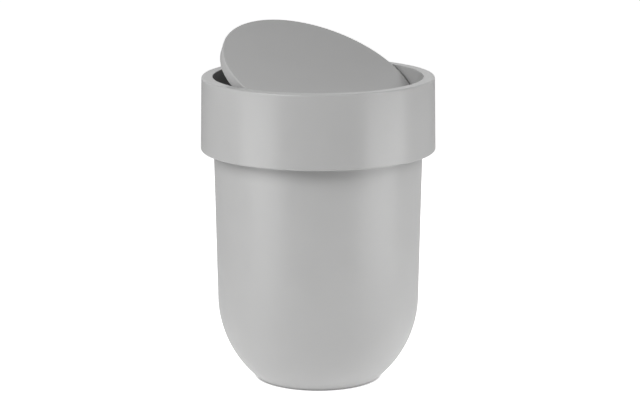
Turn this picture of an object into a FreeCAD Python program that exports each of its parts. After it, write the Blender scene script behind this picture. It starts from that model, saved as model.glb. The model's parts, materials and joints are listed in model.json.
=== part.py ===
import FreeCAD, Part
import math
import os

# A small waste bin with a swing lid. The bucket stands on a flat foot, a wide collar sits over its
# rim, and a round flap swings on two pins inside the funnel-shaped mouth of the collar.
# Millimetres, Z up, origin at the centre of the foot. The hinge axis lies along X.

# Bucket
foot_radius = 50.25             # outer edge of the standing face
foot_ring_width = 7.0           # the middle of the bottom is raised inside this ring
foot_recess = 1.2
shoulder_radius = 82.7          # outside, where the rounded bottom runs into the wall
shoulder_height = 66.5
wall_draft = 1.21               # degrees, the wall widens upwards
bucket_height = 220.0           # top of the bucket's own rim, hidden under the collar
bucket_wall = 2.2
floor_thickness = 2.6
bead_width = 2.0                # stiffening bead round the outside of the bucket's rim
bead_height = 3.2

# Collar
lid_rise = 31.2                 # rim of the collar above the bucket's rim
lid_overhang = 8.9              # band's outside beyond the bucket's wall, both at their tops
band_height = 60.3
band_flare = 0.95               # the band widens this much downwards
band_wall = 2.4
rim_width = 9.1                 # flat top between the band and the mouth
rim_thickness = 2.2
rim_edge_radius = 1.5
band_edge_radius = 1.4
mouth_edge_radius = 0.6
sleeve_wall = 1.8
sleeve_fit = 0.5                # sleeve inside the bucket's mouth
sleeve_plug = 6.0               # the sleeve reaches this far down into the bucket
seat_rib_count = 12             # ribs in the channel that stand on the bucket's rim
seat_rib_thickness = 1.6

# Flap
rest_tilt = 27.0                # degrees, the +Y side stands raised
pivot_drop = 4.0                # hinge axis below the collar's rim
flap_rise = 5.25                # flap's top face above the hinge axis
skirt_depth = 9.15
skirt_wall = 2.0
skirt_taper = 0.5
plate_thickness = 2.2
flap_edge_radius = 0.9
swing_gap = 1.5                 # between the swinging flap and the sleeve
flap_rib_count = 8
flap_rib_thickness = 1.6
flap_rib_height = 4.0

# Hinge
pin_radius = 1.5
pin_bevel = 0.4
pin_embed = 14.0                # length of pin held in the flap, from the flap's edge
pin_tip_inset = 0.3             # pin's end inside the sleeve's outer face
running_clearance = 0.05
boss_radius = 3.0
boss_end_wall = 2.5             # solid plastic behind the inner end of the pin
thrust_gap = 0.4                # end of the boss to the sleeve
slot_neck = 1.25                # half width of the snap neck under each bearing
slot_half_width = 1.8           # half width of the pin's way in from below
slot_flare = 1.6                # extra half width at the slot's mouth
slot_flare_height = 3.0

# Swing stops, a pair of blocks beside each slot that the skirt lands on
stop_angle = 70.0               # degrees from level, either way
stop_gap = 0.3
stop_half_width = 4.5
stop_height = 4.0
stop_overlap = 1.6              # radial bite of the skirt on the block

# Counterweight in its cup under the flap
cup_radius = 20.0
cup_wall = 1.6
cup_lip = 0.9                   # edge of the cup below the cover
weight_drop = 5.5               # top of the weight below the hinge axis
weight_thickness = 6.0
weight_gap = 0.2
weight_stop_thickness = 1.6     # cross of ribs that the weight is pressed against
cover_thickness = 1.8
cover_bite = 0.6                # snap groove in the cup's wall
cover_gap = 0.1
cover_notch_radius = 2.0        # thumbnail notches for prising the cover off

overrun = 1.0                   # cutters run past the faces that they cut
full_turn = 360.0
half_turn = 180.0

Z_AXIS = FreeCAD.Vector(0, 0, 1)
X_AXIS = FreeCAD.Vector(1, 0, 0)
ORIGIN = FreeCAD.Vector(0, 0, 0)

# Places that follow from the sizes above
wall_slope = math.tan(math.radians(wall_draft))
rim_top = bucket_height + lid_rise
pivot_height = rim_top - pivot_drop
channel_top = rim_top - rim_thickness
band_bottom = rim_top - band_height


def bucket_radius(height):
    """Outside radius of the bucket's straight wall."""
    return shoulder_radius + wall_slope * (height - shoulder_height)


bucket_wall_across = bucket_wall / math.cos(math.radians(wall_draft))
bucket_mouth = bucket_radius(bucket_height) - bucket_wall_across
band_top_radius = bucket_radius(bucket_height) + lid_overhang
band_bottom_radius = band_top_radius + band_flare
mouth_radius = band_top_radius - rim_width
sleeve_seat_radius = bucket_mouth - sleeve_fit - sleeve_wall
sleeve_slope = (mouth_radius - sleeve_seat_radius) / lid_rise


def sleeve_radius(height):
    """Inside radius of the collar's sleeve, which narrows downwards like a funnel."""
    return mouth_radius - sleeve_slope * (rim_top - height)


def band_radius(height):
    """Outside radius of the collar's band."""
    return band_top_radius + band_flare * (rim_top - height) / band_height


# The flap sweeps a ball round the middle of the hinge, and the ball clears the sleeve's cone
swing_reach = sleeve_radius(pivot_height) * math.cos(math.atan(sleeve_slope)) - swing_gap
flap_radius = math.sqrt(swing_reach ** 2 - flap_rise ** 2)
skirt_below = skirt_depth - flap_rise
skirt_bottom_radius = flap_radius - skirt_taper
plate_underside = flap_rise - plate_thickness

# At the stop angle the skirt's lower edge lies a gap above the upper corner of a stop block
stop_lean = math.radians(stop_angle)
stop_below = (skirt_below + stop_gap + stop_half_width * math.sin(stop_lean)) / math.cos(stop_lean)
stop_top = pivot_height - stop_below
stop_bottom = stop_top - stop_height
sleeve_bottom = min(bucket_height - sleeve_plug, stop_bottom)
stop_along = stop_half_width * math.cos(stop_lean) + stop_below * math.sin(stop_lean)
stop_inner_radius = math.sqrt(skirt_bottom_radius ** 2 - stop_along ** 2) - stop_overlap

boss_shoulder = math.sqrt(sleeve_radius(pivot_height - boss_radius) ** 2 - boss_radius ** 2) - thrust_gap
pin_start = flap_radius - pin_embed
pin_end = sleeve_radius(pivot_height) + sleeve_wall - pin_tip_inset

weight_bottom = -weight_drop - weight_thickness
cover_bottom = weight_bottom - cover_thickness
cup_bottom = cover_bottom - cup_lip


def at(radius, height):
    return FreeCAD.Vector(radius, 0, height)


def line(start, end):
    return Part.LineSegment(start, end).toShape()


def outline(points):
    """Straight edges through the points, without the closing one."""
    return [line(a, b) for a, b in zip(points, points[1:])]


def lathe(edges):
    """Solid turned about Z from a closed outline in the XZ plane."""
    return Part.Face(Part.Wire(edges)).revolve(ORIGIN, Z_AXIS, full_turn)


def lathe_corners(points):
    return lathe(outline(points + points[:1]))


def ring_edges(shape, radius, height):
    """The round edges of a turned solid at one radius and height."""
    rings = [edge for edge in shape.Edges if isinstance(edge.Curve, Part.Circle)]
    return [ring for ring in rings
            if math.isclose(ring.Curve.Radius, radius) and math.isclose(ring.Curve.Center.z, height)]


def block(low, high):
    size = high.sub(low)
    return Part.makeBox(size.x, size.y, size.z, low)


def rod(radius, start, end):
    """Round bar along X, on the hinge axis of the flap's own frame."""
    return Part.makeCylinder(radius, end - start, FreeCAD.Vector(start, 0, 0), X_AXIS)


def turned_copies(shape, count):
    """The shape and its copies, evenly spaced about Z."""
    copies = []
    for number in range(count):
        copy = shape.copy()
        copy.rotate(ORIGIN, Z_AXIS, full_turn * number / count)
        copies.append(copy)
    return copies


def both_ends(shape):
    """A feature at the +X end of the hinge and its twin at the -X end."""
    return turned_copies(shape, 2)


def arc_about(centre, radius, start, end):
    """Arc in the XZ plane between two points that lie on it."""
    first = math.atan2(start.z - centre.z, start.x - centre.x)
    last = math.atan2(end.z - centre.z, end.x - centre.x)
    middle = (first + last) / 2
    through = at(centre.x + radius * math.cos(middle), centre.z + radius * math.sin(middle))
    return Part.Arc(start, through, end).toShape()


def make_bucket():
    # One arc runs from the edge of the foot into the straight wall, tangent to the wall
    foot = at(foot_radius, 0)
    shoulder = at(shoulder_radius, shoulder_height)
    inward = FreeCAD.Vector(-1, 0, wall_slope).normalize()
    span = shoulder.sub(foot)
    bowl_radius = -span.dot(span) / (2 * span.dot(inward))
    bowl_centre = shoulder.add(inward * bowl_radius)
    bowl = arc_about(bowl_centre, bowl_radius, foot, shoulder)

    # The inside follows it one wall thickness away, down to the floor
    inner_radius = bowl_radius - bucket_wall
    inner_shoulder = shoulder.add(inward * bucket_wall)
    floor_height = foot_recess + floor_thickness
    floor_reach = math.sqrt(inner_radius ** 2 - (floor_height - bowl_centre.z) ** 2)
    floor_edge = at(bowl_centre.x + floor_reach, floor_height)
    inner_bowl = arc_about(bowl_centre, inner_radius, inner_shoulder, floor_edge)

    ring_inside = foot_radius - foot_ring_width
    bead_bottom = bucket_height - bead_height
    bead_radius = bucket_radius(bucket_height) + bead_width
    bottom = outline([at(0, floor_height), at(0, foot_recess), at(ring_inside, foot_recess),
                      at(ring_inside, 0), foot])
    rim = outline([shoulder, at(bucket_radius(bead_bottom), bead_bottom), at(bead_radius, bead_bottom),
                   at(bead_radius, bucket_height), at(bucket_mouth, bucket_height), inner_shoulder])
    floor = [line(floor_edge, at(0, floor_height))]
    return lathe(bottom + [bowl] + rim + [inner_bowl] + floor)


def make_shell():
    """Band, flat rim and sleeve of the collar, one upside-down channel."""
    band_inside_top = band_radius(channel_top) - band_wall
    band_inside_bottom = band_bottom_radius - band_wall
    shell = lathe_corners([
        at(band_bottom_radius, band_bottom), at(band_top_radius, rim_top), at(mouth_radius, rim_top),
        at(sleeve_radius(sleeve_bottom), sleeve_bottom),
        at(sleeve_radius(sleeve_bottom) + sleeve_wall, sleeve_bottom),
        at(sleeve_radius(channel_top) + sleeve_wall, channel_top),
        at(band_inside_top, channel_top), at(band_inside_bottom, band_bottom)])
    shell = shell.makeFillet(rim_edge_radius, ring_edges(shell, band_top_radius, rim_top))
    shell = shell.makeFillet(mouth_edge_radius, ring_edges(shell, mouth_radius, rim_top))
    return shell.makeFillet(band_edge_radius, ring_edges(shell, band_bottom_radius, band_bottom))


def make_seat_ribs():
    """Webs across the channel, whose lower edges stand on the bucket's rim."""
    half = seat_rib_thickness / 2
    mid_sleeve = sleeve_wall / 2
    mid_band = band_radius(bucket_height) - band_wall / 2
    corners = [at(sleeve_radius(bucket_height) + mid_sleeve, bucket_height), at(mid_band, bucket_height),
               at(band_radius(channel_top) - band_wall / 2, channel_top + rim_thickness / 2),
               at(sleeve_radius(channel_top) + mid_sleeve, channel_top + rim_thickness / 2)]
    face = Part.Face(Part.Wire(outline(corners + corners[:1])))
    rib = face.extrude(FreeCAD.Vector(0, seat_rib_thickness, 0))
    rib.translate(FreeCAD.Vector(0, -half, 0))
    rib.rotate(ORIGIN, Z_AXIS, half_turn / seat_rib_count)
    return turned_copies(rib, seat_rib_count)


def make_stop_blocks():
    """Ledges inside the sleeve's lower part, at both ends of the hinge."""
    root = (sleeve_radius(stop_top) + sleeve_radius(stop_bottom) + sleeve_wall) / 2
    ring = lathe_corners([at(stop_inner_radius, stop_bottom), at(root, stop_bottom),
                          at(root, stop_top), at(stop_inner_radius, stop_top)])
    window = block(FreeCAD.Vector(0, -stop_half_width, stop_bottom),
                   FreeCAD.Vector(root + overrun, stop_half_width, stop_top))
    return both_ends(ring.common(window))


def make_bearing_cuts():
    """Keyhole slots: a round bearing, a snap neck and a flared way in for the pin from below."""
    slot_start = stop_inner_radius - overrun
    slot_end = sleeve_radius(pivot_height) + sleeve_wall + overrun
    neck_bottom = pivot_height - boss_radius - slot_half_width
    flare_top = sleeve_bottom + slot_flare_height
    flare_half_width = slot_half_width + slot_flare
    right_side = [(slot_neck, pivot_height), (slot_neck, pivot_height - boss_radius),
                  (slot_half_width, neck_bottom), (slot_half_width, flare_top),
                  (flare_half_width, sleeve_bottom), (flare_half_width, sleeve_bottom - overrun)]
    left_side = [(-half_width, height) for half_width, height in reversed(right_side)]
    points = [FreeCAD.Vector(slot_start, y, z) for y, z in right_side + left_side]
    slot = Part.Face(Part.Wire(outline(points + points[:1])))
    slot = slot.extrude(FreeCAD.Vector(slot_end - slot_start, 0, 0))
    bearing = rod(pin_radius + running_clearance, slot_start, slot_end)
    bearing.translate(FreeCAD.Vector(0, 0, pivot_height))
    return both_ends(slot.fuse(bearing))


def make_collar():
    collar = make_shell().fuse(make_seat_ribs() + make_stop_blocks())
    return collar.cut(make_bearing_cuts()).removeSplitter()


def make_flap():
    """Flap in its own frame: hinge axis through the origin, top face level."""
    cup_outside = cup_radius + cup_wall
    groove_radius = cup_radius + cover_bite
    groove_top = weight_bottom + cover_gap
    groove_bottom = cover_bottom - cover_gap
    skirt_inside = skirt_bottom_radius - skirt_wall
    body = lathe_corners([
        at(0, flap_rise), at(flap_radius, flap_rise), at(skirt_bottom_radius, -skirt_below),
        at(skirt_inside, -skirt_below), at(skirt_inside, plate_underside),
        at(cup_outside, plate_underside), at(cup_outside, cup_bottom), at(cup_radius, cup_bottom),
        at(cup_radius, groove_bottom), at(groove_radius, groove_bottom), at(groove_radius, groove_top),
        at(cup_radius, groove_top), at(cup_radius, plate_underside), at(0, plate_underside)])
    body = body.makeFillet(flap_edge_radius, ring_edges(body, flap_radius, flap_rise))

    # Radial ribs tie the cup to the skirt, and a cross inside the cup backs the weight
    plate_middle = plate_underside + plate_thickness / 2
    rib = block(FreeCAD.Vector(cup_radius + cup_wall / 2, -flap_rib_thickness / 2,
                               plate_underside - flap_rib_height),
                FreeCAD.Vector(skirt_inside + skirt_wall / 2, flap_rib_thickness / 2, plate_middle))
    cross_reach = cup_radius + cup_wall / 2
    cross = block(FreeCAD.Vector(-cross_reach, -weight_stop_thickness / 2, -weight_drop),
                  FreeCAD.Vector(cross_reach, weight_stop_thickness / 2, plate_middle))
    crossed = cross.copy()
    crossed.rotate(ORIGIN, Z_AXIS, full_turn / 4)

    # Bosses take the pins, and their outer ends keep the flap central between the bearings
    boss = rod(boss_radius, pin_start - boss_end_wall, boss_shoulder)
    bore = rod(pin_radius, pin_start, boss_shoulder + overrun)
    flap = body.fuse(turned_copies(rib, flap_rib_count) + [cross, crossed] + both_ends(boss))
    return flap.cut(both_ends(bore)).removeSplitter()


def make_pin():
    """Right-hand hinge pin in the flap's frame, both its ends bevelled."""
    pin = rod(pin_radius, pin_start, pin_end)
    ends = [edge for edge in pin.Edges if isinstance(edge.Curve, Part.Circle)]
    return pin.makeChamfer(pin_bevel, ends)


def make_counterweight():
    radius = cup_radius - weight_gap
    weight = Part.makeCylinder(radius, weight_thickness, at(0, weight_bottom))
    return weight.makeChamfer(weight_gap, ring_edges(weight, radius, weight_bottom))


def make_weight_cover():
    """Disc snapped into the groove of the cup, with two thumbnail notches in its edge."""
    radius = cup_radius + cover_bite - cover_gap
    cover = Part.makeCylinder(radius, cover_thickness, at(0, cover_bottom))
    notch = Part.makeCylinder(cover_notch_radius, cover_thickness / 2 + overrun,
                              at(radius - cover_bite - cover_notch_radius, cover_bottom - overrun))
    return cover.cut(both_ends(notch))


def seat_on_hinge(shape):
    """Tips a piece of the flap to its rest angle and lifts it to the hinge."""
    placed = shape.copy()
    placed.rotate(ORIGIN, X_AXIS, rest_tilt)
    placed.translate(FreeCAD.Vector(0, 0, pivot_height))
    return placed


right_pin, left_pin = both_ends(make_pin())
pieces = {
    "bucket": make_bucket(),
    "lid_collar": make_collar(),
    "swing_flap": seat_on_hinge(make_flap()),
    "pivot_pin_left": seat_on_hinge(left_pin),
    "pivot_pin_right": seat_on_hinge(right_pin),
    "counterweight": seat_on_hinge(make_counterweight()),
    "weight_cover": seat_on_hinge(make_weight_cover()),
}

os.makedirs("parts", exist_ok=True)
for node, shape in pieces.items():
    shape.exportStep("parts/" + node + ".step")
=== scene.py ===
import json
import math

import bmesh
import bpy
from mathutils import Matrix, Vector


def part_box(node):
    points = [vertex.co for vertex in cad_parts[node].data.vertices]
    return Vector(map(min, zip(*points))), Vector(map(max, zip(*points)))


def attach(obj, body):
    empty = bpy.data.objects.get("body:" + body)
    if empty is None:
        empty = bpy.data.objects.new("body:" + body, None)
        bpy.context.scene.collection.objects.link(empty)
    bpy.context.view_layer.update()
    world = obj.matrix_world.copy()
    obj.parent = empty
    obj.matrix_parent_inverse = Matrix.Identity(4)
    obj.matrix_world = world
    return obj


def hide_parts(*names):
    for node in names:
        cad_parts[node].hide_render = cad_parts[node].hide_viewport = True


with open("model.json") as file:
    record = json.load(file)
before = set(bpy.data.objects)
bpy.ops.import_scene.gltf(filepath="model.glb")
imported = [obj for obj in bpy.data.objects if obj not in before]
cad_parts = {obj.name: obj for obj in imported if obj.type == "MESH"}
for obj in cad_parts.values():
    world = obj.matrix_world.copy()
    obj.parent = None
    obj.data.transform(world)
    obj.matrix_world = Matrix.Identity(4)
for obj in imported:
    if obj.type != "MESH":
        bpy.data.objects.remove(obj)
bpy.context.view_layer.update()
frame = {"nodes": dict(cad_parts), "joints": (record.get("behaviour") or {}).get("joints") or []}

# Bucket: the container under the lid, one shell of matte grey plastic from an injection mould.
# It stands on a low foot ring round a raised bottom, with the mark of the mould's gate in the middle,
# and the straight wall above the bowl widens a little upwards so that the mould lets it go.
bucket_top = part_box("bucket")[1].z
bead_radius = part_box("bucket")[1].x
bead_width = 0.002
bead_height = 0.0032
bead_rounding = 0.0005
bucket_wall = 0.0022
foot_radius = 0.05025
foot_ring_inside = 0.04325
foot_recess = 0.0012
foot_rounding = 0.0006
floor_thickness = 0.0026
shoulder_radius = 0.0827
shoulder_height = 0.0665
gate_dimple_radius = 0.0042
gate_dimple_depth = 0.0006
gate_nub_radius = 0.0011
gate_nub_height = 0.0004
gate_nub_rounding = gate_nub_height / 3
gate_dimple_rounding = gate_dimple_depth / 3
foot_inner_rounding = foot_rounding / 2
plastic_tone = (0.45, 0.45, 0.448, 1)
plastic_mottle = 0.02
plastic_ior = 1.49
plastic_grain = 0.0005
plastic_grain_depth = 0.00005
plastic_grain_strength = 0.12
bucket_roughness = 0.32
turning_steps = 192
bowl_steps = 36
merge_distance = 1e-6
sharp_angle = math.radians(32)


def rounded(corners, closed=False, steps=8, hold=0.0004):
    """Outline through (radius, height, rounding) corners, with a tangent arc at each rounded one.
    A point just outside each end of an arc keeps the flat stretch beside it flat in the shading."""
    spots = [Vector(corner[:2]) for corner in corners]
    following = spots[1:] + spots[:1]
    arms = [(spots[number - 1] - here, following[number] - here) for number, here in enumerate(spots)]
    reaches = []
    for number, (before, after) in enumerate(arms):
        rounding = corners[number][2]
        at_end = number in (0, len(corners) - 1) and not closed
        reaches.append(0 if at_end or rounding == 0 else rounding / math.tan(before.angle(after) / 2))
    points = []
    for number, here in enumerate(spots):
        reach = reaches[number]
        if reach == 0:
            points.append(here)
            continue
        before, after = arms[number]
        back, onward = before.normalized(), after.normalized()
        depth = corners[number][2] / math.sin(before.angle(after) / 2)
        middle = here + (back + onward).normalized() * depth
        start = here + back * reach - middle
        end = here + onward * reach - middle
        sweep = math.atan2(start.cross(end), start.dot(end))
        room_before = before.length - reach - reaches[number - 1]
        room_after = after.length - reach - reaches[(number + 1) % len(reaches)]
        points.append(here + back * (reach + min(hold, room_before / 3)))
        for step in range(steps + 1):
            turn = Matrix.Rotation(sweep * step / steps, 2)
            points.append(middle + turn @ start)
        points.append(here + onward * (reach + min(hold, room_after / 3)))
    return points


def arc_corners(centre, radius, first, last, steps):
    """Corners along an arc, from one angle to another."""
    angles = [first + (last - first) * step / steps for step in range(steps + 1)]
    return [(centre.x + radius * math.cos(a), centre.y + radius * math.sin(a), 0) for a in angles]


def turned_mesh(outline, steps):
    """Mesh turned about Z from an outline that starts and ends on the axis."""
    mesh = bmesh.new()
    angles = [math.tau * step / steps for step in range(steps)]
    rings = []
    for radius, height in outline:
        if radius == 0:
            rings.append([mesh.verts.new((0, 0, height))])
            continue
        ring = [(radius * math.cos(angle), radius * math.sin(angle), height) for angle in angles]
        rings.append([mesh.verts.new(spot) for spot in ring])
    for lower, upper in zip(rings, rings[1:]):
        for step in range(steps):
            following = (step + 1) % steps
            corners = [lower[step % len(lower)], lower[following % len(lower)],
                       upper[following % len(upper)], upper[step % len(upper)]]
            mesh.faces.new(dict.fromkeys(corners))
    return mesh


def finished_piece(name, mesh):
    """Object from a bmesh, with its doubles merged, its faces outwards and its round faces smooth."""
    bmesh.ops.remove_doubles(mesh, verts=mesh.verts, dist=merge_distance)
    bmesh.ops.recalc_face_normals(mesh, faces=mesh.faces)
    data = bpy.data.meshes.new(name)
    mesh.to_mesh(data)
    mesh.free()
    data.shade_smooth()
    data.set_sharp_from_angle(angle=sharp_angle)
    piece = bpy.data.objects.new(name, data)
    bpy.context.scene.collection.objects.link(piece)
    return piece


def moulded_grain_group():
    """Shader group for the fine eroded grain that a matte mould leaves on plastic."""
    grain_detail = 3
    flow_scale = 28
    flow_detail = 2
    grain_share = 0.35
    noise_low, noise_high = 0.35, 1.0
    roughness_spread = 0.12
    group = bpy.data.node_groups.new("moulded_grain", "ShaderNodeTree")
    face = group.interface
    face.new_socket("Tone", in_out="INPUT", socket_type="NodeSocketColor")
    face.new_socket("Grain Size", in_out="INPUT", socket_type="NodeSocketFloat")
    face.new_socket("Mottle", in_out="INPUT", socket_type="NodeSocketFloat")
    face.new_socket("Lowest Roughness", in_out="INPUT", socket_type="NodeSocketFloat")
    face.new_socket("Color", in_out="OUTPUT", socket_type="NodeSocketColor")
    face.new_socket("Roughness", in_out="OUTPUT", socket_type="NodeSocketFloat")
    face.new_socket("Height", in_out="OUTPUT", socket_type="NodeSocketFloat")
    nodes, links = group.nodes, group.links
    given = nodes.new("NodeGroupInput")
    result = nodes.new("NodeGroupOutput")
    place = nodes.new("ShaderNodeTexCoord")
    frequency = nodes.new("ShaderNodeMath")
    frequency.operation = "DIVIDE"
    frequency.inputs[0].default_value = 1
    links.new(given.outputs["Grain Size"], frequency.inputs[1])
    grain = nodes.new("ShaderNodeTexNoise")
    grain.inputs["Detail"].default_value = grain_detail
    links.new(place.outputs["Object"], grain.inputs["Vector"])
    links.new(frequency.outputs[0], grain.inputs["Scale"])
    flow = nodes.new("ShaderNodeTexNoise")
    flow.inputs["Scale"].default_value = flow_scale
    flow.inputs["Detail"].default_value = flow_detail
    links.new(place.outputs["Object"], flow.inputs["Vector"])

    # Colour wanders a little over the flow of the melt and from grain to grain
    both = nodes.new("ShaderNodeMath")
    both.operation = "MULTIPLY_ADD"
    both.inputs[1].default_value = grain_share
    links.new(grain.outputs["Fac"], both.inputs[0])
    links.new(flow.outputs["Fac"], both.inputs[2])
    span = nodes.new("ShaderNodeMapRange")
    span.inputs["From Min"].default_value = noise_low
    span.inputs["From Max"].default_value = noise_high
    links.new(both.outputs[0], span.inputs["Value"])
    low = nodes.new("ShaderNodeMath")
    low.operation = "SUBTRACT"
    low.inputs[0].default_value = 1
    links.new(given.outputs["Mottle"], low.inputs[1])
    high = nodes.new("ShaderNodeMath")
    high.operation = "ADD"
    high.inputs[0].default_value = 1
    links.new(given.outputs["Mottle"], high.inputs[1])
    links.new(low.outputs[0], span.inputs["To Min"])
    links.new(high.outputs[0], span.inputs["To Max"])
    shade = nodes.new("ShaderNodeVectorMath")
    shade.operation = "SCALE"
    links.new(given.outputs["Tone"], shade.inputs[0])
    links.new(span.outputs["Result"], shade.inputs["Scale"])
    links.new(shade.outputs["Vector"], result.inputs["Color"])

    # Gloss follows the flow alone, and the grain stands in relief
    gloss = nodes.new("ShaderNodeMath")
    gloss.operation = "MULTIPLY_ADD"
    gloss.inputs[1].default_value = roughness_spread
    links.new(flow.outputs["Fac"], gloss.inputs[0])
    links.new(given.outputs["Lowest Roughness"], gloss.inputs[2])
    links.new(gloss.outputs[0], result.inputs["Roughness"])
    links.new(grain.outputs["Fac"], result.inputs["Height"])
    return group


moulded_grain = moulded_grain_group()


def moulded_plastic(name, roughness):
    """Matte grey plastic straight from the mould."""
    material = bpy.data.materials.new(name)
    material.use_nodes = True
    nodes, links = material.node_tree.nodes, material.node_tree.links
    shader = nodes["Principled BSDF"]
    shader.inputs["IOR"].default_value = plastic_ior
    grain = nodes.new("ShaderNodeGroup")
    grain.node_tree = moulded_grain
    grain.inputs["Tone"].default_value = plastic_tone
    grain.inputs["Grain Size"].default_value = plastic_grain
    grain.inputs["Mottle"].default_value = plastic_mottle
    grain.inputs["Lowest Roughness"].default_value = roughness
    bump = nodes.new("ShaderNodeBump")
    bump.inputs["Strength"].default_value = plastic_grain_strength
    bump.inputs["Distance"].default_value = plastic_grain_depth
    links.new(grain.outputs["Color"], shader.inputs["Base Color"])
    links.new(grain.outputs["Roughness"], shader.inputs["Roughness"])
    links.new(grain.outputs["Height"], bump.inputs["Height"])
    links.new(bump.outputs["Normal"], shader.inputs["Normal"])
    return material


# One arc runs from the foot into the wall, tangent to the wall, and the inside follows it
wall_top = Vector((bead_radius - bead_width, bucket_top))
shoulder = Vector((shoulder_radius, shoulder_height))
foot = Vector((foot_radius, 0))
along_wall = (wall_top - shoulder).normalized()
inward = Vector((-along_wall.y, along_wall.x))
span = shoulder - foot
bowl_radius = -span.length_squared / (2 * span.dot(inward))
bowl_centre = shoulder + inward * bowl_radius
foot_angle = math.atan2(foot.y - bowl_centre.y, foot.x - bowl_centre.x)
shoulder_angle = math.atan2(-inward.y, -inward.x)
inner_bowl = bowl_radius - bucket_wall
floor_height = foot_recess + floor_thickness
floor_angle = math.asin((floor_height - bowl_centre.y) / inner_bowl)
mouth = wall_top.x - bucket_wall
bead_bottom = bucket_top - bead_height
under_bead = shoulder + along_wall * ((bead_bottom - shoulder_height) / along_wall.y)
dimple_top = foot_recess + gate_dimple_depth

bucket_outline = [
    (0, dimple_top - gate_nub_height, 0),
    (gate_nub_radius, dimple_top - gate_nub_height, gate_nub_rounding),
    (gate_nub_radius, dimple_top, 0),
    (gate_dimple_radius, dimple_top, 0),
    (gate_dimple_radius + gate_dimple_depth, foot_recess, gate_dimple_rounding),
    (foot_ring_inside, foot_recess, foot_rounding),
    (foot_ring_inside, 0, foot_inner_rounding),
]
bucket_bowl = arc_corners(bowl_centre, bowl_radius, foot_angle, shoulder_angle, bowl_steps)
bucket_outline += [(*bucket_bowl[0][:2], foot_rounding)] + bucket_bowl[1:]
bucket_outline += [
    (under_bead.x, bead_bottom, bead_rounding),
    (bead_radius, bead_bottom, bead_rounding),
    (bead_radius, bucket_top, bead_rounding),
    (mouth, bucket_top, bead_rounding),
]
bucket_outline += arc_corners(bowl_centre, inner_bowl, shoulder_angle, floor_angle, bowl_steps)
bucket_outline += [(0, floor_height, 0)]

bucket_piece = finished_piece("bucket_shell", turned_mesh(rounded(bucket_outline), turning_steps))
bucket_piece.data.materials.append(moulded_plastic("bucket_plastic", bucket_roughness))
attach(bucket_piece, "bin")
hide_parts("bucket")


# Lid collar: a lift-off ring of the same plastic, moulded as one upside-down channel.
# The outer band hangs over the bucket, webs in the channel stand on the bucket's rim, and the funnel
# sleeve inside holds the flap's pins in keyhole bearings with a stop block on both sides of each.
rim_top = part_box("lid_collar")[1].z
band_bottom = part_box("lid_collar")[0].z
lid_overhang = 0.0089
band_flare = 0.00095
band_wall = 0.0024
rim_width = 0.0091
rim_thickness = 0.0022
rim_rounding = 0.0015
band_rounding = 0.0014
mouth_rounding = 0.0006
sleeve_wall = 0.0018
sleeve_fit = 0.0005
sleeve_plug = 0.006
hinge = Vector(next(joint["pos_m"] for joint in frame["joints"] if joint["name"] == "flap_swing"))
bearing_radius = 0.00155
neck_half_width = 0.00125
neck_length = 0.003
slot_half_width = 0.0018
slot_flare = 0.0016
slot_flare_height = 0.003
stop_half_width = 0.0045
stop_height = 0.004
stop_top = 0.22256
stop_inner_radius = 0.07683
seat_web_count = 12
seat_web_thickness = 0.0016
bearing_count = 2
collar_roughness = 0.25
slot_zone = math.radians(9)
zone_columns = 10
open_columns = 84
bearing_rows = 10

band_top_radius = wall_top.x + lid_overhang
mouth_radius = band_top_radius - rim_width
channel_top = rim_top - rim_thickness
sleeve_seat_radius = mouth - sleeve_fit - sleeve_wall
sleeve_slope = (mouth_radius - sleeve_seat_radius) / (rim_top - bucket_top)
sleeve_bottom = bucket_top - sleeve_plug
stop_bottom = stop_top - stop_height
neck_top = hinge.z - math.sqrt(bearing_radius ** 2 - neck_half_width ** 2)
neck_bottom = hinge.z - neck_length - slot_half_width


def sleeve_radius(height):
    """Inner radius of the funnel sleeve, which narrows downwards."""
    return mouth_radius - sleeve_slope * (rim_top - height)


def slot_half_width_at(height):
    """Half width of the keyhole slot, which is round at the top, narrow in the neck and flared below."""
    if height >= neck_top:
        return math.sqrt(max(bearing_radius ** 2 - (height - hinge.z) ** 2, 0))
    if height >= hinge.z - neck_length:
        return neck_half_width
    if height >= neck_bottom:
        share = (hinge.z - neck_length - height) / (hinge.z - neck_length - neck_bottom)
        return neck_half_width + share * (slot_half_width - neck_half_width)
    share = max(sleeve_bottom + slot_flare_height - height, 0) / slot_flare_height
    return slot_half_width + share * slot_flare


bearing_angle = math.asin(neck_half_width / bearing_radius)
bearing_turns = [math.pi - bearing_angle - (math.pi - bearing_angle) * row / bearing_rows
                 for row in range(bearing_rows + 1)]
slot_heights = [hinge.z + bearing_radius * math.cos(turn) for turn in reversed(bearing_turns)]
slot_heights += [hinge.z - neck_length, neck_bottom, stop_top, stop_bottom]
slot_heights += [sleeve_bottom + slot_flare_height, sleeve_bottom]

band_corners = [
    (band_top_radius + band_flare, band_bottom, band_rounding),
    (band_top_radius, rim_top, rim_rounding),
    (mouth_radius, rim_top, mouth_rounding),
]
sleeve_inside = [(sleeve_radius(height), height, 0) for height in slot_heights]
sleeve_outside = [(sleeve_radius(height) + sleeve_wall, height, 0) for height in reversed(slot_heights)]
channel_corners = [
    (sleeve_radius(channel_top) + sleeve_wall, channel_top, 0),
    (band_top_radius - band_wall, channel_top, 0),
    (band_top_radius + band_flare - band_wall, band_bottom, 0),
]
collar_points = rounded(band_corners + sleeve_inside + sleeve_outside + channel_corners, closed=True)


def sleeve_depth(point):
    """How far a point of the outline lies outside the sleeve's inner face."""
    return point.x - sleeve_radius(point.y)


def beside_slot(point):
    """Whether a point of the outline lies on the stretch of the sleeve that the slots cut."""
    in_reach = sleeve_bottom - merge_distance <= point.y <= slot_heights[0] + merge_distance
    return in_reach and sleeve_depth(point) <= sleeve_wall + merge_distance


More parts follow.
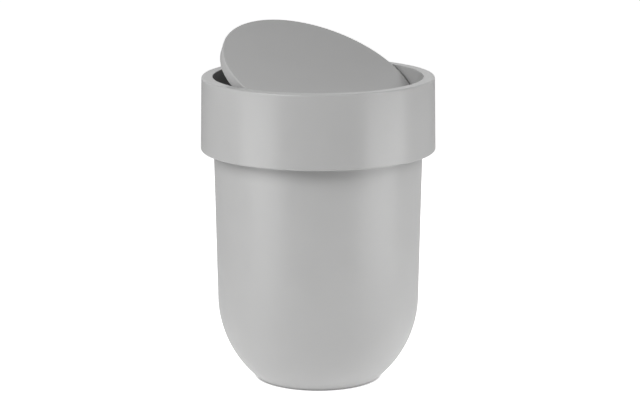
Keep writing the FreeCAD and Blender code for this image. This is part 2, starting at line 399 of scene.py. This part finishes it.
def slotted_ring(outline):
    """Ring turned about Z whose sleeve leaves the two keyhole slots open, at both ends of the X axis."""
    mesh = bmesh.new()
    side = [slot_zone * step / zone_columns for step in range(zone_columns)]
    side += [slot_zone + (math.pi - 2 * slot_zone) * step / open_columns for step in range(open_columns)]
    side += [math.pi - slot_zone * (1 - step / zone_columns) for step in range(zone_columns + 1)]
    cut = [number for number, point in enumerate(outline) if beside_slot(point)]
    inside = [number for number in cut if sleeve_depth(outline[number]) < sleeve_wall / 2]
    outside = [number for number in reversed(cut) if sleeve_depth(outline[number]) > sleeve_wall / 2]
    for half in range(2):
        columns = []
        for base in side:
            column = []
            for point in outline:
                gap = math.asin(slot_half_width_at(point.y) / point.x) if beside_slot(point) else 0
                near = min(base, math.pi - base)
                squeezed = gap + near * (slot_zone - gap) / slot_zone if near < slot_zone else near
                angle = squeezed if base < math.pi / 2 else math.pi - squeezed
                angle += math.pi * half
                spot = (point.x * math.cos(angle), point.x * math.sin(angle), point.y)
                column.append(mesh.verts.new(spot))
            columns.append(column)
        for left, right in zip(columns, columns[1:]):
            for number in range(len(outline)):
                before = number - 1
                mesh.faces.new((left[before], right[before], right[number], left[number]))
        # Each half ends in the flanks of the two slots
        for flank in (columns[0], columns[-1]):
            for row in range(len(inside) - 1):
                mesh.faces.new((flank[inside[row]], flank[inside[row + 1]],
                                flank[outside[row + 1]], flank[outside[row]]))
    return mesh


def prism(mesh, outline, depth):
    """Adds a prism to a bmesh: a flat outline in XZ, spread along Y to both sides of the X axis."""
    ends = [[mesh.verts.new((x, side * depth / 2, z)) for x, z in outline] for side in (-1, 1)]
    mesh.faces.new(ends[0])
    mesh.faces.new(reversed(ends[1]))
    for number in range(len(outline)):
        mesh.faces.new((ends[0][number - 1], ends[1][number - 1], ends[1][number], ends[0][number]))


def copies_about_axis_tree():
    """Node tree that sets copies of a mesh evenly about the Z axis."""
    tree = bpy.data.node_groups.new("copies_about_axis", "GeometryNodeTree")
    tree.interface.new_socket("Geometry", in_out="INPUT", socket_type="NodeSocketGeometry")
    tree.interface.new_socket("Count", in_out="INPUT", socket_type="NodeSocketInt")
    tree.interface.new_socket("First Turn", in_out="INPUT", socket_type="NodeSocketFloat")
    tree.interface.new_socket("Finish", in_out="INPUT", socket_type="NodeSocketMaterial")
    tree.interface.new_socket("Geometry", in_out="OUTPUT", socket_type="NodeSocketGeometry")
    nodes, links = tree.nodes, tree.links
    given = nodes.new("NodeGroupInput")
    result = nodes.new("NodeGroupOutput")
    points = nodes.new("GeometryNodePoints")
    links.new(given.outputs["Count"], points.inputs["Count"])
    index = nodes.new("GeometryNodeInputIndex")
    step = nodes.new("ShaderNodeMath")
    step.operation = "DIVIDE"
    step.inputs[0].default_value = math.tau
    links.new(given.outputs["Count"], step.inputs[1])
    turn = nodes.new("ShaderNodeMath")
    turn.operation = "MULTIPLY_ADD"
    links.new(index.outputs["Index"], turn.inputs[0])
    links.new(step.outputs[0], turn.inputs[1])
    links.new(given.outputs["First Turn"], turn.inputs[2])
    about = nodes.new("ShaderNodeCombineXYZ")
    links.new(turn.outputs[0], about.inputs["Z"])
    copies = nodes.new("GeometryNodeInstanceOnPoints")
    links.new(points.outputs["Points"], copies.inputs["Points"])
    links.new(given.outputs["Geometry"], copies.inputs["Instance"])
    links.new(about.outputs["Vector"], copies.inputs["Rotation"])
    real = nodes.new("GeometryNodeRealizeInstances")
    links.new(copies.outputs["Instances"], real.inputs["Geometry"])
    finish = nodes.new("GeometryNodeSetMaterial")
    links.new(real.outputs["Geometry"], finish.inputs["Geometry"])
    links.new(given.outputs["Finish"], finish.inputs["Material"])
    links.new(finish.outputs["Geometry"], result.inputs["Geometry"])
    return tree


copies_about_axis = copies_about_axis_tree()


def add_copies(piece, feature, count, first_turn=0.0):
    """Joins evenly turned copies of a small feature to a piece that is moulded with them."""
    source = finished_piece(piece.name + "_feature", feature)
    modifier = source.modifiers.new("copies", "NODES")
    modifier.node_group = copies_about_axis
    values = {"Count": count, "First Turn": first_turn, "Finish": piece.data.materials[0]}
    for item in copies_about_axis.interface.items_tree:
        if item.in_out == "INPUT" and item.name in values:
            modifier[item.identifier] = values[item.name]
    bpy.context.view_layer.update()
    made = bpy.data.meshes.new_from_object(source.evaluated_get(bpy.context.evaluated_depsgraph_get()))
    bpy.data.objects.remove(source)
    joined = bmesh.new()
    joined.from_mesh(piece.data)
    joined.from_mesh(made)
    joined.to_mesh(piece.data)
    joined.free()
    bpy.data.meshes.remove(made)


collar_piece = finished_piece("collar_shell", slotted_ring(collar_points))
collar_piece.data.materials.append(moulded_plastic("collar_plastic", collar_roughness))

# Webs across the channel, sunk half a wall into the sleeve, the rim and the band
band_middle = band_top_radius - band_wall / 2
rim_middle = channel_top + rim_thickness / 2
web_outline = [
    (sleeve_radius(bucket_top) + sleeve_wall / 2, bucket_top),
    (band_middle, bucket_top),
    (band_middle, rim_middle),
    (sleeve_radius(channel_top) + sleeve_wall / 2, rim_middle),
]
web = bmesh.new()
prism(web, web_outline, seat_web_thickness)
add_copies(collar_piece, web, seat_web_count, math.pi / seat_web_count)

# Stop blocks beside the slots, one each side, rooted halfway into the sleeve
blocks = bmesh.new()
stop_root = sleeve_radius(stop_bottom) + sleeve_wall / 2
block_size = (stop_root - stop_inner_radius, stop_half_width - slot_half_width, stop_height)
for side in (-1, 1):
    centre = Vector(((stop_root + stop_inner_radius) / 2, side * (stop_half_width + slot_half_width) / 2,
                     (stop_top + stop_bottom) / 2))
    bmesh.ops.create_cube(blocks, size=1, matrix=Matrix.LocRotScale(centre, None, block_size))
add_copies(collar_piece, blocks, bearing_count)
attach(collar_piece, "lid")
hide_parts("lid_collar")


# Swing flap: the round plate that closes the mouth, moulded in the same plastic with a short skirt, ribs
# and a weight cup. Two bosses in its skirt hold the hinge pins. It is modelled level on its hinge and then
# tipped to the pose at rest.
rest_tilt = math.radians(27)
flap_rise = 0.00525
pin_embed = 0.014
skirt_depth = 0.00915
skirt_wall = 0.002
skirt_taper = 0.0005
plate_thickness = 0.0022
flap_rounding = 0.0009
skirt_rounding = 0.0004
flap_rib_count = 8
flap_rib_thickness = 0.0016
flap_rib_height = 0.004
boss_radius = 0.003
boss_end_wall = 0.0025
boss_rounding = 0.0004
boss_corner_steps = 4
boss_steps = 48
cup_radius = 0.020
cup_wall = 0.0016
cup_bottom = -0.0142
cup_groove_depth = 0.0006
cup_groove_top = -0.0114
cup_groove_bottom = -0.0134
cross_thickness = 0.0016
cross_bottom = -0.0055
ejector_mark_count = 8
ejector_mark_radius = 0.003
ejector_mark_place = 0.056
ejector_mark_height = 0.00012
ejector_mark_steps = 32
flap_roughness = 0.25

pin_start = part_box("pivot_pin_right")[0].x
boss_start = pin_start - boss_end_wall
boss_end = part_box("swing_flap")[1].x
flap_radius = pin_start + pin_embed
plate_under = flap_rise - plate_thickness
skirt_bottom = flap_rise - skirt_depth
skirt_bottom_radius = flap_radius - skirt_taper
skirt_inside = skirt_bottom_radius - skirt_wall
cup_outside = cup_radius + cup_wall
flap_outline = [
    (0, flap_rise, 0),
    (flap_radius, flap_rise, flap_rounding),
    (skirt_bottom_radius, skirt_bottom, skirt_rounding),
    (skirt_inside, skirt_bottom, skirt_rounding),
    (skirt_inside, plate_under, skirt_rounding),
    (cup_outside, plate_under, skirt_rounding),
    (cup_outside, cup_bottom, skirt_rounding),
    (cup_radius, cup_bottom, skirt_rounding),
    (cup_radius, cup_groove_bottom, 0),
    (cup_radius + cup_groove_depth, cup_groove_bottom, 0),
    (cup_radius + cup_groove_depth, cup_groove_top, 0),
    (cup_radius, cup_groove_top, 0),
    (cup_radius, plate_under, 0),
    (0, plate_under, 0),
]
flap_piece = finished_piece("flap_shell", turned_mesh(rounded(flap_outline), turning_steps))
flap_piece.data.materials.append(moulded_plastic("flap_plastic", flap_roughness))

# Ribs from the cup to the skirt, sunk half a wall into both and into the plate
rib_start = cup_radius + cup_wall / 2
rib_end = skirt_inside + skirt_wall / 2
rib_bottom = plate_under - flap_rib_height
plate_middle = plate_under + plate_thickness / 2
rib_outline = [(rib_start, rib_bottom), (rib_end, rib_bottom),
               (rib_end, plate_middle), (rib_start, plate_middle)]
rib = bmesh.new()
prism(rib, rib_outline, flap_rib_thickness)
add_copies(flap_piece, rib, flap_rib_count)

# A cross of ribs in the cup backs the weight
cross_outline = [(-rib_start, cross_bottom), (rib_start, cross_bottom),
                 (rib_start, plate_middle), (-rib_start, plate_middle)]
for cross_turn in (0.0, math.pi / 2):
    cross = bmesh.new()
    prism(cross, cross_outline, cross_thickness)
    add_copies(flap_piece, cross, 1, cross_turn)

# Bosses for the pins, turned and then laid along the hinge
boss_outline = [(0, boss_start, 0), (boss_radius, boss_start, boss_rounding),
                (boss_radius, boss_end, boss_rounding), (0, boss_end, 0)]
boss = turned_mesh(rounded(boss_outline, steps=boss_corner_steps), boss_steps)
boss.transform(Matrix.Rotation(math.pi / 2, 4, "Y"))
add_copies(flap_piece, boss, bearing_count)

# Round marks that the mould's ejector pins leave under the plate
mark = bmesh.new()
bmesh.ops.create_cone(mark, cap_ends=True, segments=ejector_mark_steps, radius1=ejector_mark_radius,
                      radius2=ejector_mark_radius, depth=2 * ejector_mark_height,
                      matrix=Matrix.Translation((ejector_mark_place, 0, plate_under)))
add_copies(flap_piece, mark, ejector_mark_count, math.pi / ejector_mark_count)

flap_piece.data.transform(Matrix.Translation(hinge) @ Matrix.Rotation(rest_tilt, 4, "X"))
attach(flap_piece, "flap")
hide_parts("swing_flap")


# Hinge pins and counterweight: the flap swings on two pins of drawn steel, pressed into its bosses, and a
# plated steel disc in its cup brings it back to level. Both finishes are a little uneven in colour and
# gloss, and the pieces keep the shapes of their solids.
pin_tone = (0.58, 0.57, 0.56)
pin_roughness = 0.28
pin_speckle_scale = 4000
weight_tone = (0.45, 0.45, 0.46)
weight_roughness = 0.4
weight_speckle_scale = 900


def uneven_steel(name, tone, roughness, speckle_scale):
    """Bare or plated steel with a fine speckle."""
    speckle_detail = 4
    darkening = 0.12
    smoother, rougher = 0.06, 0.08
    material = bpy.data.materials.new(name)
    material.use_nodes = True
    nodes, links = material.node_tree.nodes, material.node_tree.links
    shader = nodes["Principled BSDF"]
    shader.inputs["Metallic"].default_value = 1
    place = nodes.new("ShaderNodeTexCoord")
    speckle = nodes.new("ShaderNodeTexNoise")
    speckle.inputs["Scale"].default_value = speckle_scale
    speckle.inputs["Detail"].default_value = speckle_detail
    links.new(place.outputs["Object"], speckle.inputs["Vector"])
    colour = nodes.new("ShaderNodeVectorMath")
    colour.operation = "MULTIPLY_ADD"
    colour.inputs[1].default_value = [darkening * channel for channel in tone]
    colour.inputs[2].default_value = [(1 - darkening) * channel for channel in tone]
    links.new(speckle.outputs["Color"], colour.inputs[0])
    links.new(colour.outputs["Vector"], shader.inputs["Base Color"])
    rough = nodes.new("ShaderNodeMapRange")
    rough.inputs["To Min"].default_value = roughness - smoother
    rough.inputs["To Max"].default_value = roughness + rougher
    links.new(speckle.outputs["Fac"], rough.inputs["Value"])
    links.new(rough.outputs["Result"], shader.inputs["Roughness"])
    return material


def refinish(node, material):
    """Gives a piece that keeps its solid's shape its own finish."""
    frame["nodes"][node].data.materials.clear()
    frame["nodes"][node].data.materials.append(material)


pin_steel = uneven_steel("pin_steel", pin_tone, pin_roughness, pin_speckle_scale)
for pin in ("pivot_pin_left", "pivot_pin_right"):
    refinish(pin, pin_steel)
weight_steel = uneven_steel("weight_steel", weight_tone, weight_roughness, weight_speckle_scale)
refinish("counterweight", weight_steel)


# Weight cover: a thin disc of the same plastic that snaps into the groove of the flap's cup.
# It closes the cup and holds the weight against the cross of ribs. It is moulded with a rougher face.
cover_roughness = 0.45
refinish("weight_cover", moulded_plastic("cover_plastic", cover_roughness))


# Studio: a seamless pale floor in a white surround, with a soft box high and a strip light low on each
# side, and one more box behind. Floor and surround look white and send only a little light back. The floor
# keeps the bin's shadow, and the thin dark line at its foot is painted shade: ambient occlusion darkens the
# floor's white glow there.
floor_size = 12.0
floor_tone = (0.75, 0.75, 0.75, 1)
floor_mirrored_share = 0.3
# Reach of the painted shade that ambient occlusion puts into the floor's glow at the bin's foot
painted_foot_shade_reach = 0.002
pool_radius = 0.1
pool_reach = 0.5
pool_glow = 0.45
surround_white = (1, 1, 1, 1)
surround_fill = 0.02


def backdrop_seen(nodes, links, mirrored_share):
    """Value that is 1 where a ray sees the backdrop straight or through glass, and a share of 1 in gloss."""
    path = nodes.new("ShaderNodeLightPath")
    straight = nodes.new("ShaderNodeMath")
    straight.operation = "MAXIMUM"
    links.new(path.outputs["Is Camera Ray"], straight.inputs[0])
    links.new(path.outputs["Is Transmission Ray"], straight.inputs[1])
    mirrored = nodes.new("ShaderNodeMath")
    mirrored.operation = "MULTIPLY"
    mirrored.inputs[1].default_value = mirrored_share
    links.new(path.outputs["Is Glossy Ray"], mirrored.inputs[0])
    seen = nodes.new("ShaderNodeMath")
    seen.operation = "MAXIMUM"
    links.new(straight.outputs["Value"], seen.inputs[0])
    links.new(mirrored.outputs["Value"], seen.inputs[1])
    return seen.outputs["Value"]


floor_mesh = bmesh.new()
bmesh.ops.create_grid(floor_mesh, x_segments=1, y_segments=1, size=floor_size / 2)
floor = finished_piece("studio_floor", floor_mesh)
floor_paint = bpy.data.materials.new("floor_paint")
floor_paint.use_nodes = True
nodes, links = floor_paint.node_tree.nodes, floor_paint.node_tree.links
shader = nodes["Principled BSDF"]
shader.inputs["Base Color"].default_value = floor_tone
shader.inputs["Roughness"].default_value = 1
shader.inputs["Specular IOR Level"].default_value = 0

# The floor sends light up at the bin from close by, and less of it from further away
place = nodes.new("ShaderNodeTexCoord")
away = nodes.new("ShaderNodeVectorMath")
away.operation = "LENGTH"
links.new(place.outputs["Object"], away.inputs[0])
pool = nodes.new("ShaderNodeMapRange")
pool.inputs["From Min"].default_value = pool_radius
pool.inputs["From Max"].default_value = pool_reach
pool.inputs["To Min"].default_value = pool_glow
pool.inputs["To Max"].default_value = 0
links.new(away.outputs["Value"], pool.inputs["Value"])
glow_strength = nodes.new("ShaderNodeMapRange")
glow_strength.inputs["To Max"].default_value = 1
links.new(pool.outputs["Result"], glow_strength.inputs["To Min"])
links.new(backdrop_seen(nodes, links, floor_mirrored_share), glow_strength.inputs["Value"])
# Painted shade: ambient occlusion darkens the floor's glow next to the bin, drawing a dark line at its foot
painted_foot_shade = nodes.new("ShaderNodeAmbientOcclusion")
painted_foot_shade.inputs["Distance"].default_value = painted_foot_shade_reach
links.new(glow_strength.outputs["Result"], painted_foot_shade.inputs["Color"])
glow = nodes.new("ShaderNodeEmission")
links.new(painted_foot_shade.outputs["Color"], glow.inputs["Color"])
lit = nodes.new("ShaderNodeAddShader")
links.new(shader.outputs["BSDF"], lit.inputs[0])
links.new(glow.outputs["Emission"], lit.inputs[1])
links.new(lit.outputs["Shader"], nodes["Material Output"].inputs["Surface"])
floor.data.materials.append(floor_paint)

world = bpy.data.worlds.new("studio_surround")
world.use_nodes = True
bpy.context.scene.world = world
nodes, links = world.node_tree.nodes, world.node_tree.links
nodes.clear()
fill = nodes.new("ShaderNodeBackground")
fill.inputs["Strength"].default_value = surround_fill
white = nodes.new("ShaderNodeBackground")
white.inputs["Strength"].default_value = 1
for surround in (fill, white):
    surround.inputs["Color"].default_value = surround_white
pick = nodes.new("ShaderNodeMixShader")
links.new(backdrop_seen(nodes, links, 1), pick.inputs["Fac"])
links.new(fill.outputs["Background"], pick.inputs[1])
links.new(white.outputs["Background"], pick.inputs[2])
output = nodes.new("ShaderNodeOutputWorld")
links.new(pick.outputs["Shader"], output.inputs["Surface"])

view_azimuth = math.radians(-43.1)
lamp_aim = Vector((0, 0, 0.13))


def soft_box(name, azimuth, elevation, distance, width, height, power, mirrored=True):
    """Area lamp that faces the bin, placed by its angle from the camera's own azimuth."""
    lamp = bpy.data.lights.new(name, "AREA")
    lamp.shape = "RECTANGLE"
    lamp.size, lamp.size_y = width, height
    lamp.energy = power
    holder = bpy.data.objects.new(name, lamp)
    turn = view_azimuth + math.radians(azimuth)
    rise = math.radians(elevation)
    away = Vector((math.sin(turn) * math.cos(rise), -math.cos(turn) * math.cos(rise), math.sin(rise)))
    holder.location = lamp_aim + away * distance
    holder.visible_camera = False
    holder.visible_glossy = mirrored
    holder.rotation_mode = "QUATERNION"
    holder.rotation_quaternion = away.to_track_quat("Z", "Y")
    bpy.context.scene.collection.objects.link(holder)


soft_box("soft_box_left", azimuth=-43, elevation=38, distance=0.7, width=0.35, height=0.35, power=2.7)
soft_box("soft_box_right", azimuth=60, elevation=38, distance=0.7, width=0.35, height=0.35, power=1.5)
soft_box("strip_light_left", azimuth=-54, elevation=-3, distance=0.45, width=0.28, height=0.2, power=0.44)
soft_box("strip_light_right", azimuth=64, elevation=-3, distance=0.45, width=0.36, height=0.2, power=0.7)
soft_box("soft_box_back", azimuth=180, elevation=20, distance=0.9, width=0.8, height=0.5, power=3.2,
         mirrored=False)


# Camera: it stands where the photograph was taken from, two metres away at the front left, higher than the
# rim, and looks down a little through a long lens.
camera_distance = 2.0224
camera_height = 0.5782
camera_aside = 0.0015
camera_pitch = 0.2103
camera_lens = 141.67
camera_sensor = 36
camera = bpy.data.objects.new("camera", bpy.data.cameras.new("camera"))
camera.data.lens = camera_lens
camera.data.sensor_width = camera_sensor
camera.location = (math.sin(view_azimuth) * camera_distance + math.cos(view_azimuth) * camera_aside,
                   -math.cos(view_azimuth) * camera_distance + math.sin(view_azimuth) * camera_aside,
                   camera_height)
camera.rotation_euler = (math.pi / 2 - camera_pitch, 0, view_azimuth)
bpy.context.scene.collection.objects.link(camera)
bpy.context.scene.camera = camera
bpy.context.scene.view_settings.view_transform = "Standard"
